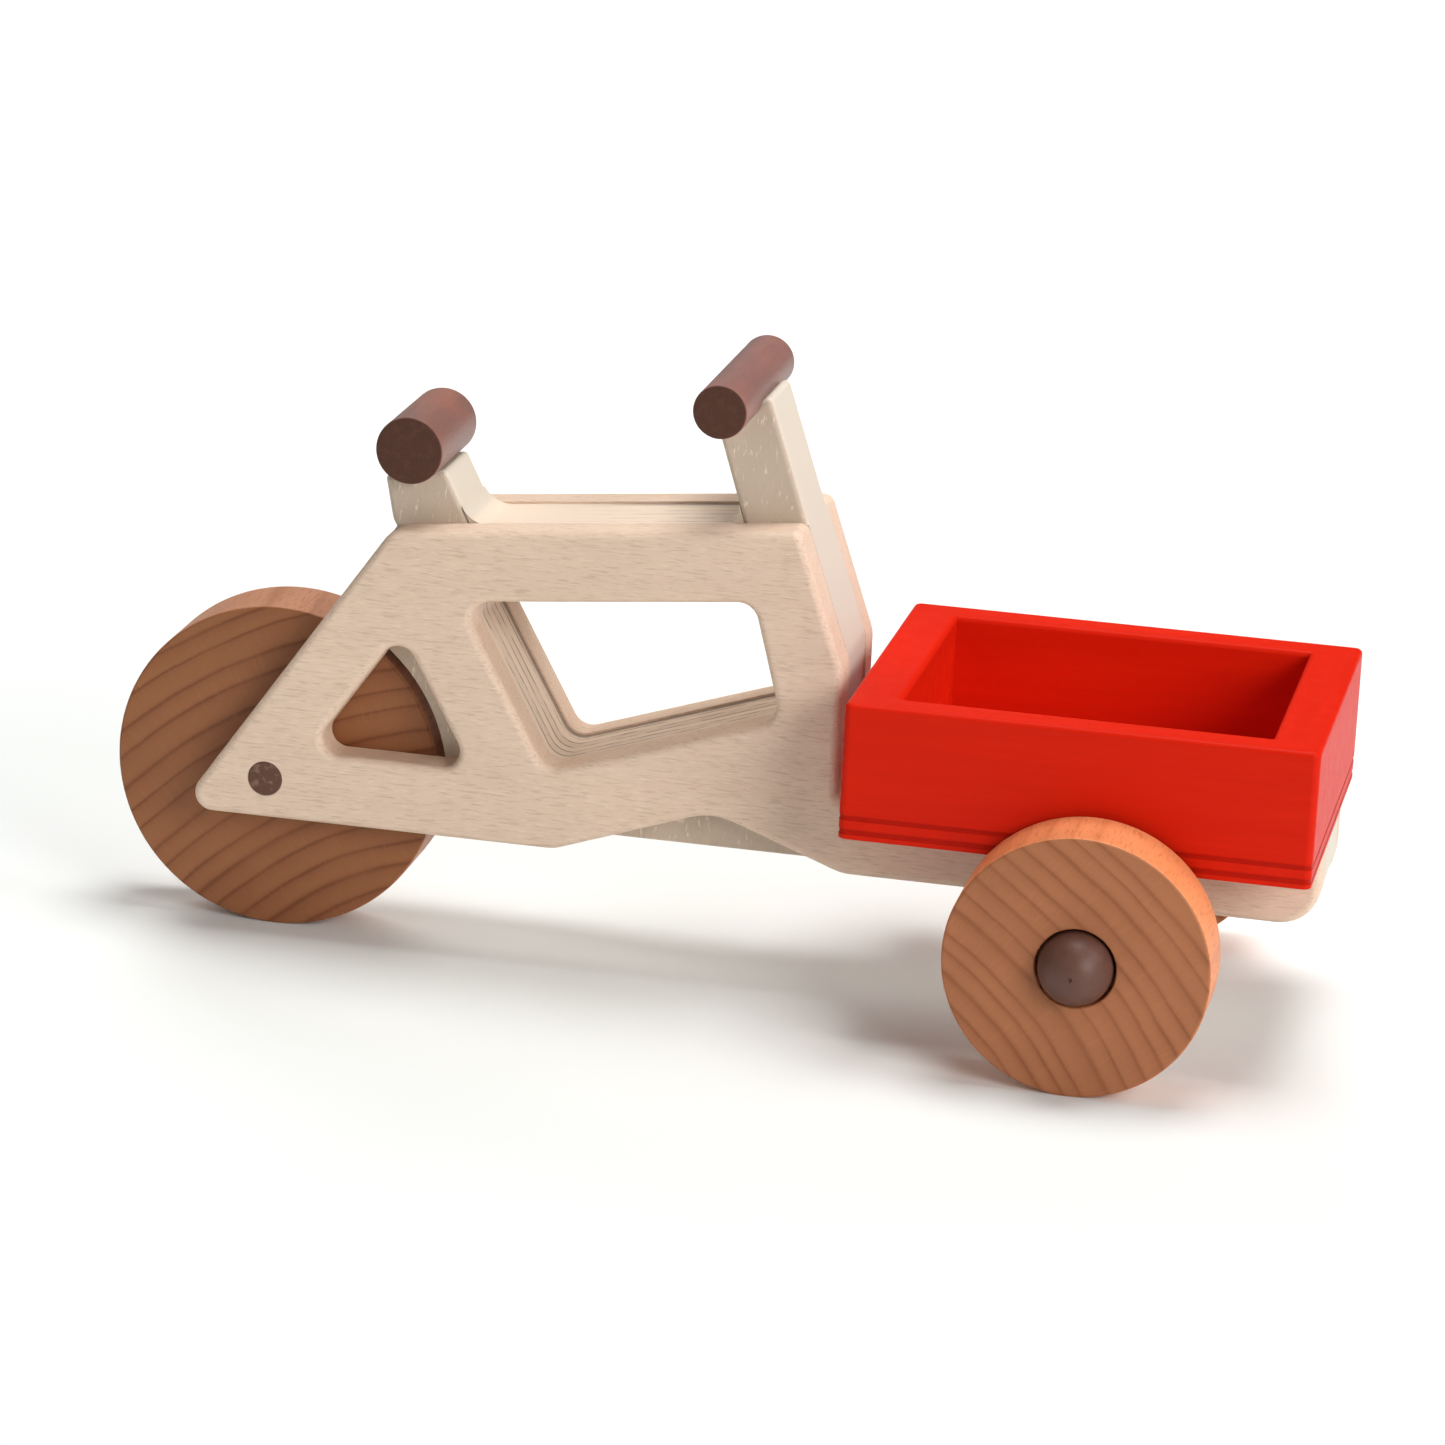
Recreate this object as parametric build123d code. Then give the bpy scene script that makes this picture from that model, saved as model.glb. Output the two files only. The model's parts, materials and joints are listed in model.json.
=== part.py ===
from build123d import *
from math import cos, radians, sin, tan
import os

# Wooden cargo tricycle for small children: one big wheel turning in a slot at
# the rear of a glued three-layer frame, two small wheels on pegs at the front,
# a red open box over the front wheels, and two dowels as saddle and handlebar.
# Frame of reference: +X ahead, +Y to the toy's left, +Z up, ground at Z = 0,
# origin under the middle of the overall length and width.  Millimetres.

# wheels
wheelbase = 191.5
rear_wheel_radius = 37.5
rear_wheel_width = 18.6
front_wheel_radius = 29.0
front_wheel_width = 16.4
wheel_edge_round = 0.7
running_gap = 0.1

# rear axle: an 8 mm dowel glued into both side plates, flush with their faces
rear_axle_radius = 4.0

# front axle pegs: a domed head partly sunk in the wheel, a shank glued in the block
peg_radius = 4.0
peg_depth_in_block = 20.0
peg_head_radius = 8.1
peg_dome_sunk = 0.5
peg_dimple_radius = 0.5
sink_radius = 8.8
sink_depth = 5.0
sink_float = 0.5

# frame layers
core_thickness = 20.0
plate_thickness = 9.0
plate_round = 2.0
core_step = 0.5

# frame outline
frame_bottom = 28.1
beam_bottom = 29.8
core_bottom = 30.4
beam_top = 46.2
beam_end_round = 9.0
stay_angle = 55.6
stay_behind_axle = 11.6
tip_round = 4.2
top_slope = 5.85
top_height_at_head = 107.0
head_lean = 19.8
head_face_ahead = 130.5
bend_height = 76.4
bend_round = 8.0
member_width = 15.4
strut_width = 15.8
slot_gap = 2.5
arch_start = 67.0
arch_middle = 102.8
arch_end = 132.5
arch_height = 12.6
arch_start_round = 9.0
arch_crown_round = 15.0
arch_end_round = 12.0
head_foot_round = 3.0
head_top_round = 2.5
seat_corner_round = 5.0

# holes through the frame
window_round = 4.5
window_rear_lean = 29.4
window_front_lean = 15.5
window_floor_rise = 18.6
window_floor_start = 64.9
window_floor_height = 46.3
window_rear_start = 48.4
window_rear_height = 74.8
window_margin = 16.1
window_front_drop = 3.3
triangle_floor = 44.4
triangle_round = 4.0

# saddle and handlebar: dowels lying in the hollowed tops of the two posts
saddle_radius = 7.6
saddle_length = 30.5
saddle_ahead = 30.1
saddle_height = 115.6
handlebar_radius = 6.0
handlebar_length = 52.0
handlebar_ahead = 101.8
handlebar_height = 133.8
dowel_chamfer = 0.4

# the two posts, each ending in a sloping top; top corners are given from the dowel's centre
post_round = 1.5
post_foot_reach = 4.5
post_root_depth = 8.0
post_root_inset = 4.0
saddle_post_front_lean = 27.0
saddle_post_rear_drop = 1.8
saddle_post_rear_round = 6.0
saddle_post_rear_top = (-6.8, -7.4)
saddle_post_front_top = (7.2, -5.0)
handlebar_post_lean = 18.2
handlebar_post_rear_top = (-3.4, -8.2)
handlebar_post_front_top = (8.0, 0.9)
post_top_round = 1.2
round_start_above_foot = 1.0

# cargo box
box_length = 102.8
box_width = 86.0
box_height = 30.5
box_front_ahead_of_axle = 46.8
floor_thickness = 6.2
wall_seat_depth = 0.5
end_wall = 11.2
side_wall = 8.4
box_round = 1.8
box_rim_round = 1.2

# front axle block, notched over the frame's beam
block_length = 24.0
block_below_beam = 11.5
block_round = 1.0
wheel_side_gap = 1.4

# places that follow from the sizes above
frame_width = core_thickness + 2 * plate_thickness
overall_length = wheelbase + rear_wheel_radius + box_front_ahead_of_axle
front_axle_x = overall_length / 2 - box_front_ahead_of_axle
rear_axle_x = front_axle_x - wheelbase
box_front_x = overall_length / 2
box_middle_x = box_front_x - box_length / 2
box_floor_top = beam_top + floor_thickness
wall_foot = box_floor_top - wall_seat_depth
box_top = beam_top + box_height
head_face_x = rear_axle_x + head_face_ahead
saddle_x = rear_axle_x + saddle_ahead
handlebar_x = rear_axle_x + handlebar_ahead
front_wheel_inner_y = box_width / 2 + wheel_side_gap
front_wheel_outer_y = front_wheel_inner_y + front_wheel_width
big = 2 * overall_length


def crossing(point_a, angle_a, point_b, angle_b):
    """Where two lines meet, each given by a point and an angle from +X."""
    ax, az = point_a
    bx, bz = point_b
    turn = sin(radians(angle_b - angle_a))
    reach = ((bx - ax) * sin(radians(angle_b)) - (bz - az) * cos(radians(angle_b))) / turn
    return (ax + reach * cos(radians(angle_a)), az + reach * sin(radians(angle_a)))


def moved(point, step):
    return (point[0] + step[0], point[1] + step[1])


def shifted(point, angle, distance):
    """A point moved square to a line of the given angle, to the line's left."""
    return (point[0] - distance * sin(radians(angle)), point[1] + distance * cos(radians(angle)))


def outline(corners):
    """Flat face from corners (x, z, radius); a radius of 0 leaves the corner sharp."""
    face = make_face(Polyline(*[(x, z) for x, z, _ in corners], close=True))
    for x, z, radius in corners:
        if radius:
            corner = face.vertices().sort_by_distance(Vertex(x, z, 0))[0]
            face = fillet(corner, radius)
    return face


def slab(face, y_low, y_high):
    """The flat face stood upright and made solid between two distances across the toy."""
    upright = Plane((0, y_high, 0), x_dir=(1, 0, 0), z_dir=(0, -1, 0))
    return upright * extrude(face, y_high - y_low)


def cross_rod(x, z, radius, y_low, y_high):
    """Round bar lying across the toy."""
    return Pos(x, (y_low + y_high) / 2, z) * Rot(90, 0, 0) * Cylinder(radius, y_high - y_low)


def block(x_low, x_high, y_low, y_high, z_low, z_high):
    middle = ((x_low + x_high) / 2, (y_low + y_high) / 2, (z_low + z_high) / 2)
    return Pos(*middle) * Box(x_high - x_low, y_high - y_low, z_high - z_low)


# the lines the frame is drawn from, each a point and an angle
head_angle = 90 + head_lean
window_rear_angle = 90 + window_rear_lean
window_front_angle = 90 + window_front_lean
bottom_point = (rear_axle_x, frame_bottom)
stay_point = shifted((rear_axle_x, rear_wheel_radius), stay_angle, stay_behind_axle)
bend_point = (head_face_x, bend_height)
top_point = (head_face_x - (top_height_at_head - bend_height) * tan(radians(head_lean)), top_height_at_head)
tip = crossing(stay_point, stay_angle, bottom_point, 0)
seat_corner = crossing(stay_point, stay_angle, top_point, top_slope)
core_top_point = shifted(top_point, top_slope, -core_step)

window_top_point = shifted(top_point, top_slope, -window_margin)
window_rear_point = (rear_axle_x + window_rear_start, window_rear_height)
window_front_point = (head_face_x - window_margin, bend_height - window_front_drop)
window_floor_point = (rear_axle_x + window_floor_start, window_floor_height)

triangle_rear_point = shifted(stay_point, stay_angle, -member_width)
triangle_front_point = shifted(window_rear_point, window_rear_angle, strut_width)
triangle_floor_point = (rear_axle_x, triangle_floor)

# where the posts' exposed edges start and end
saddle_post_angle = 90 + saddle_post_front_lean
saddle_rear_top = moved((saddle_x, saddle_height), saddle_post_rear_top)
saddle_front_top = moved((saddle_x, saddle_height), saddle_post_front_top)
saddle_front_foot = crossing(saddle_front_top, saddle_post_angle, core_top_point, top_slope)
handlebar_post_angle = 90 + handlebar_post_lean
handlebar_rear_top = moved((handlebar_x, handlebar_height), handlebar_post_rear_top)
handlebar_front_top = moved((handlebar_x, handlebar_height), handlebar_post_front_top)
handlebar_rear_foot = crossing(handlebar_rear_top, handlebar_post_angle, core_top_point, top_slope)


def window_face(wider):
    """The four-sided window, grown all round by the given amount."""
    rear = (shifted(window_rear_point, window_rear_angle, wider), window_rear_angle)
    floor = (shifted(window_floor_point, window_floor_rise, -wider), window_floor_rise)
    front = (shifted(window_front_point, window_front_angle, -wider), window_front_angle)
    top = (shifted(window_top_point, top_slope, wider), top_slope)
    lines = [rear, floor, front, top]
    corners = [crossing(*lines[i - 1], *lines[i]) for i in range(len(lines))]
    return outline([(*corner, window_round + wider) for corner in corners])


def triangle_face():
    rear = (triangle_rear_point, stay_angle)
    floor = (triangle_floor_point, 0)
    front = (triangle_front_point, window_rear_angle)
    lines = [rear, floor, front]
    corners = [crossing(*lines[i - 1], *lines[i]) for i in range(len(lines))]
    return outline([(*corner, triangle_round) for corner in corners])


def frame_plate():
    """Side plate of the toy's left side: full outline, window, triangle, axle hole."""
    corners = [
        (*tip, tip_round),
        (rear_axle_x + arch_start, frame_bottom, arch_start_round),
        (rear_axle_x + arch_middle, frame_bottom + arch_height, arch_crown_round),
        (rear_axle_x + arch_end, beam_bottom, arch_end_round),
        (box_front_x, beam_bottom, beam_end_round),
        (box_front_x, beam_top, 0),
        (head_face_x, beam_top, head_foot_round),
        (*bend_point, bend_round),
        (*top_point, head_top_round),
        (*seat_corner, seat_corner_round),
    ]
    face = outline(corners) - window_face(0) - triangle_face()
    inner = core_thickness / 2
    outer = frame_width / 2
    plate = slab(face, inner, outer)
    plate = fillet(plate.faces().sort_by(Axis.Y)[-1].edges(), plate_round)
    return plate - cross_rod(rear_axle_x, rear_wheel_radius, rear_axle_radius, inner, outer)


def post(corners, frame_height):
    """Upright that carries a dowel; its long edges are rounded above the frame."""
    half = core_thickness / 2
    solid = slab(outline(corners), -half, half)
    side_edges = (solid.faces().sort_by(Axis.Y)[0] + solid.faces().sort_by(Axis.Y)[-1]).edges()
    start = frame_height + round_start_above_foot
    return fillet([edge for edge in side_edges if edge.center().Z > start], post_round)


def saddle_post():
    rear_foot = crossing(stay_point, stay_angle, (rear_axle_x, seat_corner[1] - saddle_post_rear_drop), 0)
    root = (saddle_front_foot[0] - post_root_inset, saddle_front_foot[1] - post_root_depth)
    corners = [
        (*rear_foot, saddle_post_rear_round),
        (*root, 0),
        (*saddle_front_foot, 0),
        (*saddle_front_top, post_top_round),
        (*saddle_rear_top, post_top_round),
    ]
    return post(corners, seat_corner[1])


def handlebar_post():
    root_level = ((rear_axle_x, handlebar_rear_foot[1] - post_root_depth), 0)
    corners = [
        (*crossing(handlebar_rear_top, handlebar_post_angle, *root_level), 0),
        (*crossing(top_point, head_angle, *root_level), 0),
        (*top_point, 0),
        (*handlebar_front_top, post_top_round),
        (*handlebar_rear_top, post_top_round),
    ]
    return post(corners, top_point[1])


def foot_curve(foot, top_direction, post_direction):
    """Small hollow curve where a post grows out of the top bar."""
    on_top = (foot[0] + post_foot_reach * cos(radians(top_direction)),
              foot[1] + post_foot_reach * sin(radians(top_direction)))
    post_way = (cos(radians(post_direction)), sin(radians(post_direction)))
    on_post = (foot[0] + post_foot_reach * post_way[0], foot[1] + post_foot_reach * post_way[1])
    curve = TangentArc(on_post, on_top, tangent=(-post_way[0], -post_way[1]))
    return make_face([Line(on_top, foot), Line(foot, on_post), curve])


def frame_core():
    """Middle layer with both posts, cut away round the rear wheel."""
    low = (rear_axle_x, core_bottom)
    recessed_face = (head_face_x - core_step, beam_top)
    corners = [
        (*crossing(stay_point, stay_angle, low, 0), 0),
        (box_front_x, core_bottom, beam_end_round),
        (box_front_x, beam_top, 0),
        (*recessed_face, head_foot_round),
        (*crossing(top_point, head_angle, recessed_face, 90), bend_round),
        (*crossing(top_point, head_angle, core_top_point, top_slope), 0),
        (*crossing(stay_point, stay_angle, core_top_point, top_slope), 0),
    ]
    face = outline(corners) - window_face(core_step)
    face -= Pos(rear_axle_x, rear_wheel_radius) * Circle(rear_wheel_radius + slot_gap)
    face += foot_curve(saddle_front_foot, top_slope, saddle_post_angle)
    face += foot_curve(handlebar_rear_foot, 180 + top_slope, handlebar_post_angle)
    core = slab(face, -core_thickness / 2, core_thickness / 2) + saddle_post() + handlebar_post()
    return core - saddle() - handlebar()


def dowel(x, z, radius, length):
    rod = cross_rod(x, z, radius, -length / 2, length / 2)
    return chamfer(rod.edges().filter_by(GeomType.CIRCLE), dowel_chamfer)


def saddle():
    return dowel(saddle_x, saddle_height, saddle_radius, saddle_length)


def handlebar():
    return dowel(handlebar_x, handlebar_height, handlebar_radius, handlebar_length)


def rear_axle():
    return cross_rod(rear_axle_x, rear_wheel_radius, rear_axle_radius, -frame_width / 2, frame_width / 2)


def wheel(x, radius, y_low, y_high):
    """Turned disc with lightly rounded rims."""
    disc = cross_rod(x, radius, radius, y_low, y_high)
    return fillet(disc.edges().filter_by(GeomType.CIRCLE), wheel_edge_round)


def rear_wheel():
    half = rear_wheel_width / 2
    bore = cross_rod(rear_axle_x, rear_wheel_radius, rear_axle_radius + running_gap, -half, half)
    return wheel(rear_axle_x, rear_wheel_radius, -half, half) - bore


def front_wheel():
    """Left front wheel: bored for the peg, with a sink for the peg's head."""
    inner = front_wheel_inner_y
    outer = front_wheel_outer_y
    disc = wheel(front_axle_x, front_wheel_radius, inner, outer)
    bore = cross_rod(front_axle_x, front_wheel_radius, peg_radius + running_gap, inner, outer)
    sink = cross_rod(front_axle_x, front_wheel_radius, sink_radius, outer - sink_depth, outer)
    return disc - bore - sink


def axle_peg():
    """Left peg: shank glued in the axle block, domed head holding the wheel on."""
    head_inner = front_wheel_outer_y - sink_depth + sink_float
    dome_y = front_wheel_outer_y - peg_dome_sunk
    shank_end = box_width / 2 - peg_depth_in_block
    x = front_axle_x
    z = front_wheel_radius
    shank = cross_rod(x, z, peg_radius, shank_end, dome_y)
    rim = cross_rod(x, z, peg_head_radius, head_inner, dome_y)
    ball = Pos(x, dome_y, z) * Sphere(peg_head_radius)
    dome = ball & block(x - big, x + big, dome_y, dome_y + big, z - big, z + big)
    dimple = Pos(x, dome_y + peg_head_radius, z) * Sphere(peg_dimple_radius)
    return shank + rim + dome - dimple


def box_body():
    """The whole box outline with its outer corners and rim rounded."""
    box_rear_x = box_front_x - box_length
    half = box_width / 2
    body = block(box_rear_x, box_front_x, -half, half, beam_top, box_top)
    body = fillet(body.edges().filter_by(Axis.Z), box_round)
    return fillet(body.faces().sort_by(Axis.Z)[-1].edges(), box_rim_round)


def box_floor():
    """Floor panel with a shallow step all round, in which the walls stand."""
    half_length = box_length / 2 - end_wall
    half_width = box_width / 2 - side_wall
    panel = box_body() & block(-big, big, -big, big, beam_top, wall_foot)
    return panel + block(box_middle_x - half_length, box_middle_x + half_length, -half_width, half_width,
                         beam_top, box_floor_top)


def box_side_wall():
    """Left side wall, running the whole length of the box."""
    return box_body() & block(-big, big, box_width / 2 - side_wall, big, wall_foot, big)


def box_end_wall(end):
    """End wall standing between the side walls; end is +1 in front and -1 behind."""
    half = box_width / 2 - side_wall
    near = box_middle_x + end * (box_length / 2 - end_wall)
    far = box_middle_x + end * box_length
    return box_body() & block(min(near, far), max(near, far), -half, half, wall_foot, big)


def axle_block():
    """Cross block under the box floor, notched over the beam, bored for both pegs."""
    half = box_width / 2
    body = block(front_axle_x - block_length / 2, front_axle_x + block_length / 2, -half, half,
                 beam_bottom - block_below_beam, beam_top)
    body = fillet(body.faces().sort_by(Axis.Z)[0].edges(), block_round)
    body -= block(-big, big, -frame_width / 2, frame_width / 2, beam_bottom, big)
    for end in (-1, 1):
        near, far = sorted((end * half, end * (half - peg_depth_in_block)))
        body -= cross_rod(front_axle_x, front_wheel_radius, peg_radius, near, far)
    return body


def right(piece):
    """The same piece mirrored to the toy's right side."""
    return mirror(piece, about=Plane.XZ)


pieces = {
    "frame_core": frame_core(),
    "frame_plate_left": frame_plate(),
    "frame_plate_right": right(frame_plate()),
    "saddle": saddle(),
    "handlebar": handlebar(),
    "rear_axle": rear_axle(),
    "rear_wheel": rear_wheel(),
    "axle_block": axle_block(),
    "axle_peg_left": axle_peg(),
    "axle_peg_right": right(axle_peg()),
    "front_wheel_left": front_wheel(),
    "front_wheel_right": right(front_wheel()),
    "box_floor": box_floor(),
    "box_side_wall_left": box_side_wall(),
    "box_side_wall_right": right(box_side_wall()),
    "box_rear_wall": box_end_wall(-1),
    "box_front_wall": box_end_wall(1),
}

os.makedirs("parts", exist_ok=True)
for name, shape in pieces.items():
    export_step(shape, f"parts/{name}.step")
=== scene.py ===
import json
import math
from typing import NamedTuple

import bmesh
import bpy
from mathutils import Matrix, Vector


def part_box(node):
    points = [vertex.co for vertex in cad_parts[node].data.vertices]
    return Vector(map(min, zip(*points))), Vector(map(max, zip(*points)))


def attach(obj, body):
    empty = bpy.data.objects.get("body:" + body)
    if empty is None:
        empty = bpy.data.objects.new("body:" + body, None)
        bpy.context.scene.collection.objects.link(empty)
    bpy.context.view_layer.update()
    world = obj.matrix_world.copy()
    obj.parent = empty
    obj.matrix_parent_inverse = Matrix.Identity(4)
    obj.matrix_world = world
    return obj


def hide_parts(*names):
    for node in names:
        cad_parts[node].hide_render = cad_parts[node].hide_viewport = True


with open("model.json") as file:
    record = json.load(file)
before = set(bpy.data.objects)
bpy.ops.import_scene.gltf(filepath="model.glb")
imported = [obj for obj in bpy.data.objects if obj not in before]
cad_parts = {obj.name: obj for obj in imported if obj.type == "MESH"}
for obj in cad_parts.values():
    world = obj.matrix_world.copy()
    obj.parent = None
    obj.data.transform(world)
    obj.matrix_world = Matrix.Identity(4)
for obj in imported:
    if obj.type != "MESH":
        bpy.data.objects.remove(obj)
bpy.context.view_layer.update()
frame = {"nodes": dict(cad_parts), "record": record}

# Looks of a wooden toy cargo tricycle.  Metres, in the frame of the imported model:
# +X ahead, +Y to the toy's left, +Z up, ground at Z = 0.
MM = 0.001

# camera, seen from the toy's right, a little ahead and above; its angles are in degrees, its lens and its
# sensor in millimetres
CAMERA_TARGET = (0.00012, 0.0, 0.05626)
CAMERA_DISTANCE = 1.26857
CAMERA_AZIMUTH = 11.334
CAMERA_ELEVATION = 16.912
CAMERA_ROLL = 2.783
CAMERA_LENS = 141.145
CAMERA_SENSOR = 36.0

# soft round lamps that aim at the toy: turn is the compass angle from +X and height the angle above the
# floor, both in degrees, size is the lamp's diameter in metres and power is in watts
LAMP_DISTANCE = 1.6
LAMP_COLOUR = (1.0, 0.985, 0.965)
LAMPS = {
    "top_soft": {"turn": 50, "height": 80, "size": 0.9, "power": 19.0, "gloss": True},
    "key_right": {"turn": 2, "height": 36, "size": 0.85, "power": 7.5, "gloss": True},
    "rear_soft": {"turn": 112, "height": 26, "size": 1.1, "power": 16.5, "gloss": False},
    "fill_left": {"turn": 240, "height": 20, "size": 0.8, "power": 2.6, "gloss": True},
    "fill_right": {"turn": 318, "height": 23, "size": 0.8, "power": 14.8, "gloss": True},
}
SKY_STRENGTH = 0.04
FLOOR_SIZE = 8.0
FLOOR_COLOUR = (0.83, 0.86, 0.855)
FLOOR_ROUGHNESS = 0.9
FLOOR_SPECULAR = 0.1

# turned pieces
TURN_STEPS = 192
ARC_STEPS = 6
WHEEL_EDGE = 0.7 * MM
BORE_RADIUS = 4.1 * MM
BORE_EDGE = 0.3 * MM
SINK_RADIUS = 8.8 * MM
SINK_DEPTH = 5.0 * MM
SINK_EDGE = 0.35 * MM
DOWEL_EDGE = 0.45 * MM
AXLE_EDGE = 0.25 * MM
PEG_RADIUS = 4.0 * MM
PEG_HEAD_RADIUS = 8.1 * MM
PEG_HEAD_THICKNESS = 4.0 * MM
PEG_HEAD_EDGE = 0.3 * MM
PEG_DIMPLE_RADIUS = 0.5 * MM
DOME_STEPS = 24
DIMPLE_STEPS = 6

# sawn and painted pieces
SHARP_ANGLE = math.radians(28)
FLAT_ANGLE = math.radians(0.4)
SANDED_EDGE = 0.22 * MM
PAINTED_EDGE = 1.2 * MM
GLUED_EDGE = 0.05 * MM
EDGE_STEPS = 3
SAME_PLACE = 0.001 * MM

# the box floor is plywood: two of its layers lie a little deeper under the paint
FLOOR_CORNER_ROUND = 1.8 * MM
FLOOR_EDGE_ROUND = 0.4 * MM
FLOOR_BANDS = ((1.2 * MM, 2.4 * MM), (4.4 * MM, 5.5 * MM))
FLOOR_BAND_DEPTH = 0.12 * MM

# Materials work in millimetres, apart from the depth of their relief.  A pair of roughnesses, shades or
# strengths is for where its pattern or share is 0 and where it is 1.


class Pattern(NamedTuple):
    """Noise in wood or paint.

    per_mm is how fast it changes per millimetre along X, Y and Z; detail and rough are the number and the
    strength of its finer layers; shift moves it away from other patterns.  With marks it is sharpened into
    marks that fade in between two levels of the noise.  between holds the values that it then runs between.
    """

    per_mm: tuple
    detail: float = 2.0
    rough: float = 0.5
    shift: float = 0.0
    marks: tuple = None
    between: tuple = (0.0, 1.0)


# Growth rings run round a pith, which is given as x and z from the wheel's centre.
FRONT_PITH = (-90.0, -87.0)
FRONT_RING = 4.3
FRONT_RING_STRENGTH = 0.8
FRONT_SEEDS = {"left": 31.0, "right": 17.0}
REAR_PITH = (56.0, -100.0)
REAR_RING = 5.0
REAR_RING_STRENGTH = 1.0
REAR_SEED = 2.0
# how far a ring strays from a circle, in millimetres, in wide bends, in ripples and in its ragged edge
RING_WANDER = Pattern((0.022, 0.01, 0.022), detail=1.0, between=(-2.0, 2.0))
RING_RIPPLE = Pattern((0.085, 0.03, 0.085), detail=3.0, shift=3.0, between=(-0.5, 0.5))
RING_FRAY = Pattern((0.9, 0.1, 0.9), rough=0.6, shift=5.0, between=(-0.16, 0.16))
# along the radius only: makes good years wide and poor years narrow
RING_UNEVEN = Pattern((0.13, 1.0, 1.0), detail=1.0, shift=7.0, between=(-2.6, 2.6))
RING_CLARITY = Pattern((0.07, 0.02, 0.07), detail=1.0, shift=9.0)
FAINTEST_RING = 0.45
STRONGEST_RING = 1.45
# one growth ring from its start to its end: pale early wood that darkens to a thin line of late wood
RING_SHADES = [(0.0, 0.42), (0.09, 0.08), (0.2, 0.0), (0.5, 0.1),
               (0.78, 0.36), (0.9, 0.95), (0.95, 1.0), (1.0, 0.42)]
RIM_DASHES = Pattern((2.0, 0.24, 2.0), rough=0.6, shift=11.0, marks=(0.53, 0.68))
WHEEL_PORES = Pattern((2.6, 0.3, 2.6), rough=0.7, shift=13.0, marks=(0.5, 0.72))
WHEEL_CLOUD = Pattern((0.05, 0.03, 0.05), shift=15.0, between=(0.87, 1.13))
# rays run out from the pith, so this pattern's three directions are round the pith, along the radius and Y
RAYS = Pattern((1.0, 0.12, 0.1), rough=0.6, shift=17.0, marks=(0.52, 0.72))
RAYS_PER_RING = 40
PORE_SHARE = 0.2
RAY_SHARE = 0.07
RIM_RING_SHARE = 0.5
RIM_DASH_SHARE = 0.6
WHEEL_FACE_START = (0.45, 0.8)
WHEEL_ROUGHNESS = (0.52, 0.44)
LATE_WOOD_HEIGHT = 0.4
WHEEL_PORE_DEPTH = 0.6
WHEEL_RELIEF = 0.03 * MM
# late wood's share of the red, green and blue of early wood
LATE_WOOD = (0.62, 0.52, 0.44)
WHEEL_FACE = (0.395, 0.147, 0.062)
REAR_WHEEL_FACE = (0.310, 0.117, 0.045)
WHEEL_RIM = (0.76, 0.27, 0.11)
REAR_WHEEL_RIM = (0.52, 0.25, 0.15)

# outer plates and axle block
PLATE_DRIFT = Pattern((0.02, 0.05, 0.05), between=(-1.2, 1.2))
DARK_DASHES = Pattern((0.20, 1.9, 2.1), detail=3.0, rough=0.6, marks=(0.5, 0.68))
PALE_DASHES = Pattern((0.26, 2.1, 2.4), detail=3.0, rough=0.6, shift=21.0, marks=(0.52, 0.70))
PLATE_TONE = Pattern((0.012, 0.25, 0.3), detail=3.0, shift=33.0)
PLATE_CLOUD = Pattern((0.03, 0.05, 0.05), shift=5.0, between=(0.93, 1.07))
DARK_DASH_SHARE = 0.62
PALE_DASH_SHARE = 0.5
PALE_DASH_HEIGHT = 0.4
PLATE_ROUGHNESS = (0.46, 0.58)
PLATE_RELIEF = 0.04 * MM
PLATE_DEEP = (0.720, 0.535, 0.406)
PLATE_PALE = (0.795, 0.612, 0.478)
PLATE_DASH = (0.565, 0.410, 0.303)
PLATE_FLECK = (0.86, 0.71, 0.58)

# sanded faces of the plywood core, with upright flecks
CORE_BEND = Pattern((0.12, 0.12, 0.12), between=(-1.4, 1.4))
CORE_FLECKS = Pattern((1.3, 1.3, 0.26), detail=3.0, rough=0.6, shift=4.0, marks=(0.58, 0.70))
CORE_PORES = Pattern((2.0, 2.0, 0.6), rough=0.6, shift=9.0, marks=(0.54, 0.72))
CORE_TONE = Pattern((0.12, 0.12, 0.03), shift=2.0)
CORE_FLECK_SHARE = 0.7
CORE_PORE_SHARE = 0.3
CORE_FACE_START = (0.5, 0.85)
CORE_ROUGHNESS = (0.46, 0.66)
GLUE_LINE_DEPTH = 1.5
CORE_RELIEF = 0.06 * MM
CORE_FACE_DEEP = (0.500, 0.400, 0.310)
CORE_FACE_PALE = (0.600, 0.490, 0.390)
CORE_FLECK = (0.88, 0.77, 0.64)
CORE_PORE = (0.44, 0.34, 0.26)

# Sawn layers show inside the window and along the core's hollow top between the two posts.  The hollow top
# is at CORE_TOP where x is 0 and rises towards the front; the next two are heights above or below it.
CORE_TOP = 104.5
CORE_TOP_RISE = 0.1
POSTS_START = (0.6, 1.8)
WINDOW_EDGE = (-4.0, -2.0)
# along x: the layers on the top fade in ahead of the saddle post, and all layers stop at the head
TOP_LINES_FADE_IN = (-48.0, -5.0)
HEAD_START = (17.0, 19.0)
# dark joints with the outer plates: a fine glue line on the right, and on the left a wider band of painted
# shade for the shadow in the gap; both as distances from the core's own side between which the dark fades
RIGHT_JOINT = (0.2, 0.5)
LEFT_GAP_SHADE = (-2.4, -1.5)
CORE_PLIES = 6
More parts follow.
